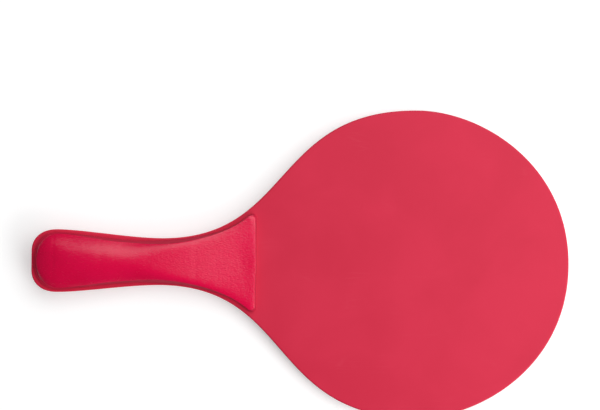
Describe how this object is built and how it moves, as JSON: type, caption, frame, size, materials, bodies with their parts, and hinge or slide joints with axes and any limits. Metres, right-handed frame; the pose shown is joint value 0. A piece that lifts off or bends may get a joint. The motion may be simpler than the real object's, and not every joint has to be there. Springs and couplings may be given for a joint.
{
  "type": "beach game paddle",
  "caption": "Flat round-headed plastic paddle for beach ball games, its tang clamped between hollow crowned grip shells that flare to a straight edge at the throat.",
  "frame": {"origin": "middle of the paddle: half its length and width, on the blade's mid plane", "axes": "+X from the handle's butt end to the tip of the head, +Y across the head to the left, +Z out of the front hitting face"},
  "size_m": [0.33, 0.189, 0.0214],
  "materials": {
    "blade_plastic": "fine matte grain, red",
    "grip_plastic": "satin, finely grained, red"
  },
  "bodies": {
    "root": {"blade": "blade_plastic", "front_grip": "grip_plastic", "rear_grip": "grip_plastic"}
  },
  "joints": []
}
